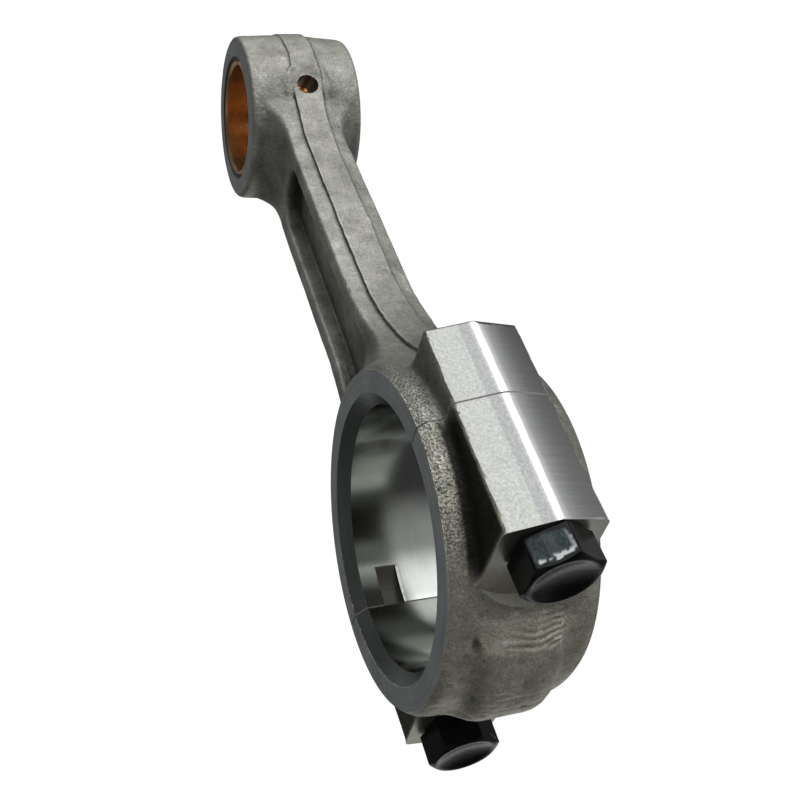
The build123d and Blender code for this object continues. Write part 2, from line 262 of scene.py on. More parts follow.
def finish_facets(points):
    """Round the line between the ground facets and their far ends, and barrel the lower ones."""
    x, y, z = points.T
    level = ridge_at(x) - FACET_SLOPE * np.abs(z)
    outer = (np.abs(y) > level - 0.35) & (np.abs(z) < FACET_HALF - FACET_EDGE)
    outer &= (x > SEAT + 0.1) & (x < SHOULDER - 0.1)
    near_ridge = np.abs(z) < RIDGE_ROUND
    fall = np.where(near_ridge, FACET_SLOPE * (np.abs(z) - (z * z + RIDGE_ROUND ** 2) / (2 * RIDGE_ROUND)), 0)
    along = np.clip(-z / (FACET_HALF - FACET_EDGE), 0, 1)
    bulge = LOWER_BULGE * 4 * along * (1 - along)
    points[:, 1] += np.sign(y) * np.where(outer, fall + bulge, 0)

    # The last stretch of each facet and the top of the end face share one quarter circle
    x, y, z = points.T
    level = ridge_at(SHOULDER) - FACET_SLOPE * np.abs(z)
    below = level - np.abs(y)
    in_reach = (np.abs(y) > BOSS_INNER) & (np.abs(z) < FACET_HALF + 0.1)
    in_reach &= (x < SHOULDER + 0.05) & (x > SHOULDER - END_ROUND)
    on_end = in_reach & (x > SHOULDER - 0.02) & (below < END_ROUND)
    on_facet = in_reach & ~on_end & (below < 0.3)
    down_end = 2 * END_ROUND - np.clip(END_ROUND - below, 0, END_ROUND)
    path = np.where(on_end, down_end, x - SHOULDER + END_ROUND)
    quarter = path / (2 * END_ROUND) * np.pi / 2
    moved = on_end | on_facet
    points[moved, 0] = (SHOULDER - END_ROUND + END_ROUND * np.sin(quarter))[moved]
    points[moved, 1] = (np.sign(y) * (level - END_ROUND + END_ROUND * np.cos(quarter)))[moved]


CROWN_X = -16.7                     # centre of the cap's crown
CROWN_R = 23.7
FOLDS_FROM, FOLDS_TO = 27, 52       # degrees of the crown that carry folds
FOLD_TURN = 3.4                     # degrees from one fold to the next
FOLD_HEIGHT = 0.15
CROWN_WAVE = 0.10
PIT_DEPTH = 0.4
DIMPLE = (-33.9, -13.1, 9.9)        # beside the crown on the near upper side
DIMPLE_ALONG = (-0.34, 0.90, -0.25)
DIMPLE_LENGTH, DIMPLE_WIDTH, DIMPLE_DEPTH = 2.0, 0.8, 0.9


def cap_marks(points):
    """Height of the forging folds across the crown, a few deep pits and one dimple beside it."""
    x, y, z = points.T
    turn = np.degrees(np.arctan2(np.abs(y), CROWN_X - x))
    on_crown = step(np.hypot(x - CROWN_X, y), CROWN_R - 1.2, CROWN_R - 0.4) * step(8.0 - np.abs(z), 0, 2.0)
    wave = np.sin(2 * np.pi * (turn / FOLD_TURN + 0.9 * value_noise(points + 71, 5.0)))
    broken = np.clip(0.45 + 1.1 * value_noise(points + 83, 3.4), 0, 1)
    folds = FOLD_HEIGHT * wave * broken * step(turn, FOLDS_FROM, FOLDS_FROM + 6)
    folds *= step(FOLDS_TO - turn, 0, 6) * step(6.5 - z, 0, 3)
    slow = CROWN_WAVE * value_noise(np.stack([turn * 0.4, z / 12.0, 0 * z], axis=1), 1.0)
    pits = np.clip(value_noise(points + 13, 1.9) - 0.42, 0, 1)
    offset = points - np.array(DIMPLE)
    along = offset @ np.array(DIMPLE_ALONG)
    across = np.linalg.norm(offset - along[:, None] * np.array(DIMPLE_ALONG), axis=1)
    dimple = np.exp(-(along / DIMPLE_LENGTH) ** 2 - (across / DIMPLE_WIDTH) ** 2)
    return on_crown * (folds + slow) - PIT_DEPTH * pits - DIMPLE_DEPTH * dimple


SNAP = 0.14                         # how far a vertex may be from the bore edge it is put on


def snap_bore_edge(points):
    """Put the vertices where the bore meets its chamfers exactly on that circle."""
    radius = np.hypot(points[:, 0], points[:, 1])
    edge_z = HALF_BIG - MOUTH
    near = np.hypot(radius - HOUSING_R, np.abs(points[:, 2]) - edge_z) < SNAP
    points[near, :2] *= (HOUSING_R / radius[near])[:, None]
    points[near, 2] = np.sign(points[near, 2]) * edge_z


UPPER_TRIM = 0.22                   # how much lower the flash is at its upper edge
SHANK_FROM, SHANK_TO = 27, 136      # where the flash shows along the shank
BARREL_R = 27                       # and round the small end
WANDER_SLOW, WANDER_QUICK = 0.40, 0.16
FLASH_REACH = 2.2                   # height on each side of an edge that wanders with it
SOFTENING = 0.5                     # share of the way a vertex moves in one smoothing step
SKIN_STEPS, JUNCTION_STEPS, CAP_BACK_STEPS = 4, 30, 70
RING_ROOTS, BARREL_ROOTS = 50, 38   # radii within which the roots at the two ends are softened more
BACK_FROM, BACK_HEIGHT, BACK_WIDTH = 8, 13.0, 28    # the cap's back, softened most
VALLEY_FROM, VALLEY_TO = 9.6, 13.4  # heights of the valley beside each boss
VALLEY_INNER = 22                   # its nearest to the middle of the rod
CROWN_HIGHLIGHT_FROM = 31                    # degrees of the crown, up to FOLDS_TO
CROWN_HIGHLIGHT_MIDDLE, CROWN_HIGHLIGHT_HALF = 1.5, 9.5
SKIN_WAVES = ((0.09, 0, 13.0), (0.035, 31, 3.9), (0.03, 57, 1.5))    # height, place in the noise, size


def skin(node, depth, body):
    """The rod or cap as an even mesh: exact machined surfaces, softened and roughened forged ones."""
    piece = even_copy(node, node + "_skin", depth)
    points, quads = mesh_arrays(piece.data)
    kinds = surface_kinds(points, quads)
    pairs = edge_pairs(quads)
    count = len(points)

    # Round machined surfaces go back to their true radius
    bore = spread((kinds == BORE).astype(float), quads, count) > 0.99
    radius = np.hypot(points[:, 0], points[:, 1])
    on_bore = bore & (np.abs(radius - HOUSING_R) < 0.1)
    points[on_bore, :2] *= (HOUSING_R / radius[on_bore])[:, None]
    snap_bore_edge(points)
    finish_facets(points)

    # The trimmed flash, on the outer sides of the shank and the small end: its upper edge is
    # trimmed lower than the other, and both edges wander
    x, y, z = points.T
    small = np.hypot(x - CENTRES, y)
    normal = vertex_normals(points, quads)
    from_small = np.stack([x - CENTRES, y], axis=1) / np.maximum(small, 1e-6)[:, None]
    barrel_side = (normal[:, :2] * from_small).sum(axis=1) * step(BARREL_R - small, 0, 2)
    shank_side = np.sign(y) * normal[:, 1] * step(x, SHANK_FROM, SHANK_FROM + 6)
    shank_side *= step(SHANK_TO - x, 0, 4)
    side = step(np.maximum(barrel_side, shank_side), 0.3, 0.6)
    flash_height = np.abs(z)
    outward = normal[:, :2] / np.maximum(np.linalg.norm(normal[:, :2], axis=1), 1e-6)[:, None]
    trimmed = side * (flash_height < FLASH_HALF + 0.06) * step(z, -2.0, FLASH_HALF)
    points[:, :2] -= outward * (UPPER_TRIM * trimmed)[:, None]
    near_edge = step(FLASH_REACH - np.abs(flash_height - FLASH_HALF), 0, 1.2) * side
    wander = WANDER_SLOW * value_noise(points / (1, 1, 4) + 5, 9.0)
    wander += WANDER_QUICK * value_noise(points / (1, 1, 4) + 9, 2.4)
    points[:, 2] += np.sign(z) * near_edge * wander

    # Only forged skin is softened; it meets the machined surfaces at their exact edges
    forged = spread((kinds == FORGED).astype(float), quads, count) > 0.99
    free = forged.astype(float)
    points = smooth(points, pairs, SOFTENING * free, SKIN_STEPS)
    x, y, z = points.T
    big = np.hypot(x, y)
    small = np.hypot(x - CENTRES, y)
    off_flash = step(np.abs(z), FLASH_HALF + 1.0, FLASH_HALF + 2.2)
    junctions = off_flash * np.maximum(step(RING_ROOTS - big, 0, 5), step(BARREL_ROOTS - small, 0, 4))
    points = smooth(points, pairs, SOFTENING * free * junctions, JUNCTION_STEPS)
    if node == "bearing_cap":
        back = step(-x, BACK_FROM, BACK_FROM + 6) * step(BACK_HEIGHT - np.abs(z), 0, 2)
        back *= step(BACK_WIDTH - np.abs(y), 0, 4)
        points = smooth(points, pairs, SOFTENING * free * back, CAP_BACK_STEPS)

    # Forging skin: slow waves, scale marks and shot-blast dimples
    rough = (spread(forged.astype(float)[quads].mean(axis=1), quads, count) > 0.999).astype(float)
    for _ in range(2):
        rough = spread(rough[quads].mean(axis=1), quads, count)
    height = sum(tall * value_noise(points + shift, size) for tall, shift, size in SKIN_WAVES)
    normal = vertex_normals(points, quads)
    if node == "bearing_cap":
        height += cap_marks(points)
    points += normal * (height * rough)[:, None]

    # On the cap's side of the split, the valley between each boss and the ring is marked for painted shade,
    # and part of the crown's folds for a painted highlight
    facing = np.abs(normal[:, 2]) * (normal[:, 2] * z > 0)
    beside_boss = step(VALLEY_TO - np.abs(z), 0, 1.5) * step(np.abs(z), VALLEY_FROM, VALLEY_FROM + 0.5)
    beside_boss *= step(np.abs(y), VALLEY_INNER, VALLEY_INNER + 5)
    valley = beside_boss * np.maximum(step(facing, 0.25, 0.7), step(12.6 - np.abs(z), 0, 1.0))
    valley *= step(3.0 - x, 0, 7.0) * rough
    # Painted highlight: part of the crown's folds is marked to be lightened
    crown_turn = np.degrees(np.arctan2(np.abs(y), CROWN_X - x)) + 2.0 * value_noise(points + 91, 4.0)
    crown_highlight = step(crown_turn, CROWN_HIGHLIGHT_FROM, CROWN_HIGHLIGHT_FROM + 5) * step(FOLDS_TO - crown_turn, 0, 5)
    crown_highlight *= step(CROWN_HIGHLIGHT_HALF - np.abs(z - CROWN_HIGHLIGHT_MIDDLE), 0, 2.5)
    crown_highlight *= (x < CROWN_X) * rough

    piece.data.vertices.foreach_set("co", (points * MM).ravel())
    marks = {"flash_side": side * rough, "flash_height": flash_height, "valley": valley, "crown_highlight": crown_highlight}
    for name, values in marks.items():
        piece.data.attributes.new(name, "FLOAT", "POINT").data.foreach_set("value", values)
    piece.data.polygons.foreach_set("material_index", kinds.astype(np.int32))
    piece.data.polygons.foreach_set("use_smooth", np.ones(len(quads), bool))
    piece.data.update()
    piece.data.set_sharp_from_angle(angle=radians(28))
    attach(piece, body)
    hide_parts(node)
    return piece


rod = skin("rod_body", 9, "rod")
cap = skin("bearing_cap", 8, "cap")


# ---------------------------------------------------------------- cap bolts
TURNS = 192                         # vertices around a bolt
HEX_FLAT = 7.0                      # from the axis to a flat
CORNER_LIMIT = 0.985                # the corners are slightly rounded
TOP_R = 6.7
DISH_R = 6.1
DISH_DEPTH = 1.3
WASHER_R = 6.7
WASHER_HEIGHT = 0.5
WAIST_R = 4.3
FITTED_R = 4.77
FITTED_RANGE = (-6.5, 5.5)
RUN_OUT = 0.8
THREAD_R = 4.5
THREAD_PITCH = 1.0
THREAD_DEPTH = 0.6
THREAD_ROWS = 10                    # rows of vertices in one pitch
END_CHAMFER = 0.9
NEAR_WORN_FLAT = 153.0              # the scuffed flat of each head, degrees from +Y towards +Z
FAR_WORN_FLAT = 255.0
PATCH_ACROSS, PATCH_ALONG, PATCH_EDGE = 1.9, 1.4, 1.45    # half sizes and soft edge of the worn patch
PATCH_R = 6.6                       # it stays outside this radius
LINE_ACROSS = 3.3                   # the scratched corner, from the middle of the flat
RIM_BRIGHT, LINE_BRIGHT = 0.9, 0.45


def bolt_rings(hex_turn):
    """Angles, and (station, radius at each angle) rings from the dished top to the threaded end."""
    angle = radians(hex_turn) + np.arange(TURNS) * 2 * np.pi / TURNS
    within = (angle - radians(hex_turn)) % radians(60) - radians(30)
    hexagon = np.minimum(HEX_FLAT / np.cos(within), CORNER_LIMIT * HEX_FLAT / cos(radians(30)))
    even = np.ones(TURNS)
    rings = []

    def ring(x, radius):
        rings.append((x * even, radius * even))

    # Dish, rim and the turned-off corners
    for share in np.linspace(0.08, 0.97, 14):
        ring(HEAD_TOP + DISH_DEPTH * (1 - share ** 2), DISH_R * share)
    ring(HEAD_TOP + 0.03, DISH_R - 0.02)
    ring(HEAD_TOP, DISH_R + 0.08)
    ring(HEAD_TOP, TOP_R - 0.12)
    ring(HEAD_TOP + 0.03, TOP_R - 0.02)
    for down in np.linspace(0.07, 0.9, 16):
        rings.append(((HEAD_TOP + down) * even, np.minimum(hexagon, TOP_R + down / np.tan(radians(30)))))

    # Flats, washer face and the plain part of the shank
    under = SEAT - WASHER_HEIGHT
    for x in np.linspace(HEAD_TOP + 1.05, under - 0.12, 30):
        rings.append((x * even, hexagon))
    rings.append((under * even, hexagon - 0.12))
    ring(under, WASHER_R + 0.05)
    ring(under + 0.05, WASHER_R)
    ring(SEAT - 0.03, WASHER_R)
    ring(SEAT, WASHER_R - 0.03)
    ring(SEAT, WAIST_R + 0.3)
    ring(SEAT + 0.3, WAIST_R)
    start, end = FITTED_RANGE
    ring(start - RUN_OUT, WAIST_R)
    ring(start, FITTED_R)
    ring(end, FITTED_R)
    ring(end + RUN_OUT, THREAD_R)

    # Helical thread that runs out at both ends
    thread_start = end + RUN_OUT + 0.1
    rows = int((BOLT_TIP - END_CHAMFER - thread_start) / THREAD_PITCH * THREAD_ROWS)
    for x in np.linspace(thread_start, BOLT_TIP - 0.02, rows):
        phase = (x / THREAD_PITCH - (angle - radians(hex_turn)) / (2 * np.pi)) % 1
        cut = THREAD_DEPTH * np.clip(1.25 - 2.5 * np.abs(phase - 0.5), 0, 1)
        cut = cut * step(x, thread_start, thread_start + 1.5)
        tip_limit = THREAD_R - np.clip(x - (BOLT_TIP - END_CHAMFER), 0, END_CHAMFER)
        rings.append((x * even, np.minimum(THREAD_R - 0.02 - cut, tip_limit)))
    ring(BOLT_TIP, 0.4)
    return angle, rings


def bolt_skin(node, body, side, worn_flat):
    """A cap bolt with a true hexagon head and a helical thread, in place of its CAD node."""
    cad = np.array([v.co[:] for v in frame["nodes"][node].data.vertices]) / MM
    head = cad[cad[:, 0] < SEAT]
    reach = np.hypot(head[:, 1] - side * BOLT_OFFSET, head[:, 2])
    corner = head[reach.argmax()]
    hex_turn = np.degrees(np.arctan2(corner[2], corner[1] - side * BOLT_OFFSET)) % 60
    angle, rings = bolt_rings(hex_turn)

    axis_y = side * BOLT_OFFSET
    points = [np.stack([x, axis_y + r * np.cos(angle), r * np.sin(angle)], axis=1) for x, r in rings]
    first = (HEAD_TOP + DISH_DEPTH, axis_y, 0)
    last = (BOLT_TIP, axis_y, 0)
    points = np.concatenate([np.array([first]), *points, np.array([last])])
    around = np.arange(TURNS)
    beyond = (around + 1) % TURNS
    faces = [(0, 1 + b, 1 + a) for a, b in zip(around, beyond)]
    for row in range(len(rings) - 1):
        low, high = 1 + row * TURNS, 1 + (row + 1) * TURNS
        faces += [(low + a, low + b, high + b, high + a) for a, b in zip(around, beyond)]
    low = 1 + (len(rings) - 1) * TURNS
    faces += [(low + a, low + b, len(points) - 1) for a, b in zip(around, beyond)]

    # Bare metal shows on the scuffed flat, brightest towards the head's top and at one corner
    x = points[:, 0]
    reach = np.hypot(points[:, 1] - axis_y, points[:, 2])
    around_axis = np.degrees(np.arctan2(points[:, 2], points[:, 1] - axis_y))
    turn = (around_axis - worn_flat + 180) % 360 - 180
    ragged = 0.45 * value_noise(points + 3, 1.3) + 0.25 * value_noise(points + 8, 0.6)
    middle = (HEAD_TOP + SEAT) / 2 - 0.2
    across = np.maximum(np.abs(turn) * radians(HEX_FLAT) - PATCH_ACROSS, 0)
    lengthways = np.maximum(np.abs(x - middle) - PATCH_ALONG, 0)
    patch = step(PATCH_EDGE - np.hypot(across, lengthways) + ragged, 0.0, 0.35) * (reach > PATCH_R)
    rim = step(middle - 1.3 - x + 0.8 * ragged, 0, 0.6)
    corner_line = step(0.5 - np.abs(turn * radians(HEX_FLAT) - LINE_ACROSS), 0, 0.4)
    torn = step(value_noise(points + 21, 0.5) + 0.5 * value_noise(points + 25, 1.4), -0.25, 0.25)
    scratch = patch * np.maximum(RIM_BRIGHT * rim * torn, LINE_BRIGHT * corner_line)

    mesh = bpy.data.meshes.new(node + "_skin")
    mesh.from_pydata((points * MM).tolist(), [], faces)
    for name, values in (("bare", patch), ("scratch", scratch)):
        mesh.attributes.new(name, "FLOAT", "POINT").data.foreach_set("value", values.astype(float))
    mesh.polygons.foreach_set("use_smooth", np.ones(len(faces), bool))
    mesh.update()
    mesh.set_sharp_from_angle(angle=radians(24))
    piece = bpy.data.objects.new(node + "_skin", mesh)
    bpy.context.scene.collection.objects.link(piece)
    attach(piece, body)
    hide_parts(node)
    return piece


near_bolt = bolt_skin("bolt_near", "near_bolt", -1, NEAR_WORN_FLAT)
far_bolt = bolt_skin("bolt_far", "far_bolt", 1, FAR_WORN_FLAT)


# ---------------------------------------------------------------- material helpers
def new_material(name):
    """An empty node material: the tree, its Principled node and object coordinates in metres."""
    material = bpy.data.materials.new(name)
    material.use_nodes = True
    tree = material.node_tree
    shader = tree.nodes["Principled BSDF"]
    place = tree.nodes.new("ShaderNodeTexCoord").outputs["Object"]
    return material, tree, shader, place


def mapped(tree, place, scale):
    """The coordinates stretched by a scale along each axis."""
    mapping = tree.nodes.new("ShaderNodeMapping")
    mapping.inputs["Scale"].default_value = scale
    tree.links.new(place, mapping.inputs["Vector"])
    return mapping.outputs["Vector"]


def noise(tree, place, scale, detail=3.0, roughness=0.5, distortion=0.0):
    """Noise from 0 to 1, with about scale features in a metre."""
    node = tree.nodes.new("ShaderNodeTexNoise")
    node.inputs["Scale"].default_value = scale
    node.inputs["Detail"].default_value = detail
    node.inputs["Roughness"].default_value = roughness
    node.inputs["Distortion"].default_value = distortion
    tree.links.new(place, node.inputs["Vector"])
    return node.outputs["Fac"]


def ramp(tree, fac, stops):
    """A colour ramp from (position, colour or grey) stops."""
    node = tree.nodes.new("ShaderNodeValToRGB")
    band = node.color_ramp
    while len(band.elements) < len(stops):
        band.elements.new(0.5)
    for element, (position, colour) in zip(band.elements, stops):
        if not isinstance(colour, tuple):
            colour = (colour, colour, colour)
        element.position = position
        element.color = (*colour, 1)
    tree.links.new(fac, node.inputs["Fac"])
    return node.outputs["Color"]


def mixed(tree, a, b, fac=0.5, blend="MIX"):
    """Mix of two colours, given as sockets or plain colours."""
    node = tree.nodes.new("ShaderNodeMix")
    node.data_type = "RGBA"
    node.blend_type = blend
    for name, kind, value in (("Factor", "VALUE", fac), ("A", "RGBA", a), ("B", "RGBA", b)):
        socket = next(s for s in node.inputs if s.name == name and s.type == kind)
        if isinstance(value, bpy.types.NodeSocket):
            tree.links.new(value, socket)
        elif name == "Factor":
            socket.default_value = value
        else:
            socket.default_value = (*value, 1)
    return next(s for s in node.outputs if s.type == "RGBA")


def maths(tree, operation, a, b=0.0, clamp=False):
    """Result of a math node on two sockets or numbers."""
    node = tree.nodes.new("ShaderNodeMath")
    node.operation = operation
    node.use_clamp = clamp
    for socket, value in zip(node.inputs, (a, b)):
        if isinstance(value, bpy.types.NodeSocket):
            tree.links.new(value, socket)
        else:
            socket.default_value = value
    return node.outputs["Value"]


def bumped(tree, shader, layers):
    """Stack bump layers, each (height socket, depth in mm), onto the shader's normal."""
    normal = None
    for height, depth in layers:
        node = tree.nodes.new("ShaderNodeBump")
        node.inputs["Strength"].default_value = 1.0
        node.inputs["Distance"].default_value = depth * MM
        tree.links.new(height, node.inputs["Height"])
        if normal is not None:
            tree.links.new(normal, node.inputs["Normal"])
        normal = node.outputs["Normal"]
    tree.links.new(normal, shader.inputs["Normal"])


# ---------------------------------------------------------------- materials
ROD_DARK, ROD_LIGHT = (0.30, 0.295, 0.265), (0.60, 0.60, 0.55)
CAP_DARK, CAP_LIGHT = (0.36, 0.345, 0.28), (0.72, 0.70, 0.59)
SCALE_LINE, VALLEY_SHADE_BLACK = (0.035, 0.032, 0.028), (0.008, 0.007, 0.006)


def axis_value(tree, place, axis):
    """One coordinate, in millimetres."""
    split = tree.nodes.new("ShaderNodeSeparateXYZ")
    tree.links.new(place, split.inputs["Vector"])
    return maths(tree, "MULTIPLY", split.outputs[axis], 1 / MM)


def fade(tree, value, start, end, low=0.0, high=1.0):
    """A value eased from low to high while the input goes from start to end."""
    node = tree.nodes.new("ShaderNodeMapRange")
    node.interpolation_type = "SMOOTHSTEP"
    for name, number in (("From Min", start), ("From Max", end), ("To Min", low), ("To Max", high)):
        node.inputs[name].default_value = number
    tree.links.new(value, node.inputs["Value"])
    return node.outputs["Result"]


def stored(tree, name):
    """A value stored on the mesh."""
    node = tree.nodes.new("ShaderNodeAttribute")
    node.attribute_name = name
    return node.outputs["Fac"]


def forged_steel(name):
    """Shot-blast forging: grey on the shank, browner towards the cap, speckled, with painted shade in its
    hollows and painted light on edges, flange and crown.
    """
    material, tree, shader, place = new_material(name)
    along = axis_value(tree, place, "X")
    mottle = noise(tree, place, 130, 5, 0.65)
    shank_tone = ramp(tree, mottle, [(0.30, ROD_DARK), (0.70, ROD_LIGHT)])
    cap_tone = ramp(tree, mottle, [(0.30, CAP_DARK), (0.70, CAP_LIGHT)])
    towards_cap = fade(tree, along, 12.0, -32.0)
    # Painted highlight: the marked part of the crown is made up to 1.45 times lighter
    crown_highlight = fade(tree, stored(tree, "crown_highlight"), 0.0, 1.0, 1.0, 1.45)
    colour = mixed(tree, shank_tone, cap_tone, towards_cap)
    colour = mixed(tree, colour, crown_highlight, 1.0, "MULTIPLY")
    low_end = fade(tree, along, 28.0, 66.0, 0.66, 1.0)
    top_end = fade(tree, along, 152.0, 172.0, 1.0, 0.50)
    ends = mixed(tree, maths(tree, "MULTIPLY", low_end, top_end), (1, 1, 1), towards_cap)
    colour = mixed(tree, colour, ends, 1.0, "MULTIPLY")
    speckle = noise(tree, place, 2300, 2, 0.6)
    beside_boss = maths(tree, "MULTIPLY", fade(tree, along, 24.0, 8.0), fade(tree, along, -27.0, -18.0))
    on_flange = maths(tree, "MULTIPLY", fade(tree, axis_value(tree, place, "Z"), 10.8, 12.2), beside_boss)
    fine = ramp(tree, speckle, [(0.34, 0.80), (0.66, 1.20)])
    # On the flange beside each boss the speckle is coarser and lifts the colour up to twice: real grain with
    # painted glints and painted light
    coarse_grain_and_glints = ramp(tree, speckle, [(0.36, 0.42), (0.64, 2.0)])
    colour = mixed(tree, colour, mixed(tree, fine, coarse_grain_and_glints, on_flange), 1.0, "MULTIPLY")
    pits = noise(tree, place, 820, 3, 0.7)
    colour = mixed(tree, colour, ramp(tree, pits, [(0.25, 0.40), (0.36, 1.0)]), 1.0, "MULTIPLY")
    # Painted light and shade: lighter along convex edges, darker in creases
    geometry = tree.nodes.new("ShaderNodeNewGeometry")
    edge_light_crease_shade = ramp(tree, geometry.outputs["Pointiness"], [(0.46, 0.55), (0.50, 1.0), (0.56, 1.4)])
    colour = mixed(tree, colour, edge_light_crease_shade, 1.0, "MULTIPLY")

    # A dark line of scale along both edges of the trimmed flash
    over_edge = maths(tree, "SUBTRACT", stored(tree, "flash_height"), FLASH_HALF + 0.12)
    off_edge = maths(tree, "ABSOLUTE", over_edge)
    line = maths(tree, "MULTIPLY", fade(tree, off_edge, 0.26, 0.05), stored(tree, "flash_side"))
    line = maths(tree, "MULTIPLY", line, fade(tree, noise(tree, place, 90, 2, 0.5), 0.40, 0.60, 0.12, 0.80))
    line = maths(tree, "MULTIPLY", line, fade(tree, axis_value(tree, place, "Z"), -1.0, 1.0, 1.0, 0.45))
    colour = mixed(tree, colour, SCALE_LINE, line)

    # Painted shade: ambient occlusion takes the colour nearly to black in hollows and pockets
    hollow = tree.nodes.new("ShaderNodeAmbientOcclusion")
    hollow.inputs["Distance"].default_value = 16 * MM
    hollow.samples = 6
    shade = ramp(tree, hollow.outputs["AO"], [(0.35, 0.02), (0.60, 0.16), (0.78, 0.70), (0.92, 1.0)])
    colour = mixed(tree, colour, shade, 1.0, "MULTIPLY")
    # Painted shade: the marked valley beside each boss goes almost black
    scale = maths(tree, "MULTIPLY", stored(tree, "valley"), 0.94)
    colour = mixed(tree, colour, VALLEY_SHADE_BLACK, scale)
    tree.links.new(colour, shader.inputs["Base Color"])
    shader.inputs["Metallic"].default_value = 0.70
    tree.links.new(ramp(tree, mottle, [(0.3, 0.60), (0.7, 0.46)]), shader.inputs["Roughness"])
    rough_skin = maths(tree, "MULTIPLY", speckle, fade(tree, on_flange, 0.0, 1.0, 0.45, 1.0))
    bumped(tree, shader, [(pits, 0.26), (rough_skin, 0.20), (maths(tree, "SUBTRACT", 1.0, line), 0.10)])
    return material


def turned_steel(name, colour, roughness, ring_scale, ring_depth, metallic=0.95):
    """Machined steel with concentric tool marks around the big-end bore's axis."""
    material, tree, shader, place = new_material(name)
    split = tree.nodes.new("ShaderNodeSeparateXYZ")
    tree.links.new(place, split.inputs["Vector"])
    squared = maths(tree, "ADD", maths(tree, "MULTIPLY", split.outputs["X"], split.outputs["X"]),
                    maths(tree, "MULTIPLY", split.outputs["Y"], split.outputs["Y"]))
    join = tree.nodes.new("ShaderNodeCombineXYZ")
    tree.links.new(maths(tree, "SQRT", squared), join.inputs["X"])
    tree.links.new(split.outputs["Z"], join.inputs["Y"])
    rings = noise(tree, join.outputs["Vector"], ring_scale, 3, 0.7)
    cloud = noise(tree, place, 120, 4, 0.6)
    dark = tuple(0.84 * c for c in colour)
    light = tuple(min(1, 1.1 * c) for c in colour)
    tint = ramp(tree, cloud, [(0.3, dark), (0.7, light)])
    tint = mixed(tree, tint, ramp(tree, rings, [(0.3, 0.88), (0.7, 1.10)]), 1.0, "MULTIPLY")
    tree.links.new(tint, shader.inputs["Base Color"])
    shader.inputs["Metallic"].default_value = metallic
    rough = ramp(tree, cloud, [(0.3, roughness + 0.05), (0.7, roughness - 0.04)])
    tree.links.new(rough, shader.inputs["Roughness"])
    bumped(tree, shader, [(rings, ring_depth)])
    return material


def honed_steel(name, dark, light):
    """The big-end bore, with fine marks around its wall."""
    material, tree, shader, place = new_material(name)
    marks = noise(tree, mapped(tree, place, (60, 60, 5200)), 1.0, 3, 0.7)
    cloud = noise(tree, place, 70, 3, 0.5)
    colour = ramp(tree, cloud, [(0.3, dark), (0.7, light)])
    colour = mixed(tree, colour, ramp(tree, marks, [(0.3, 0.95), (0.7, 1.04)]), 1.0, "MULTIPLY")
    tree.links.new(colour, shader.inputs["Base Color"])
    shader.inputs["Metallic"].default_value = 1.0
    shader.inputs["Roughness"].default_value = 0.13
    bumped(tree, shader, [(marks, 0.003)])
    return material


def ground_steel():
    """The boss facets: belt-ground across the boss, speckled on the upper facet, with a painted highlight
    along their ridge.
    """
    material, tree, shader, place = new_material("ground_boss_steel")
    lines = noise(tree, mapped(tree, place, (2600, 60, 60)), 1.0, 4, 0.75)
    speckle = noise(tree, place, 1900, 3, 0.7)
    height = axis_value(tree, place, "Z")
    upper = fade(tree, height, 0.0, 1.0)
    brushed = ramp(tree, lines, [(0.3, 0.90), (0.7, 1.07)])
    speckled = ramp(tree, speckle, [(0.3, 0.72), (0.7, 1.16)])
    marks = mixed(tree, brushed, speckled, upper)
    strip = maths(tree, "MULTIPLY", fade(tree, height, 1.1, 1.5), fade(tree, height, 3.6, 3.1))
    tone = mixed(tree, (0.50, 0.51, 0.49), (0.40, 0.41, 0.41), strip)
    # Painted highlight: near-white colour along the rounded line between the two facets
    tone = mixed(tree, (0.95, 0.96, 0.94), tone, fade(tree, height, 0.6, 1.0))
    tone = mixed(tree, tone, (0.72, 0.74, 0.73), fade(tree, height, -0.8, -2.2))
    colour = mixed(tree, tone, marks, 1.0, "MULTIPLY")
    tree.links.new(colour, shader.inputs["Base Color"])
    shader.inputs["Metallic"].default_value = 1.0
    tree.links.new(ramp(tree, upper, [(0.0, 0.22), (1.0, 0.36)]), shader.inputs["Roughness"])
    grain = maths(tree, "MULTIPLY", speckle, upper)
    bumped(tree, shader, [(lines, 0.006), (grain, 0.05)])
    return material


BLACK_DEEP, BLACK_SHEEN = (0.003, 0.0035, 0.0035), (0.013, 0.014, 0.015)
BARE_DARK, BARE_MIDDLE, BARE_LIGHT = (0.016, 0.022, 0.024), (0.055, 0.070, 0.074), (0.26, 0.28, 0.29)
SCRATCH = (0.50, 0.52, 0.53)


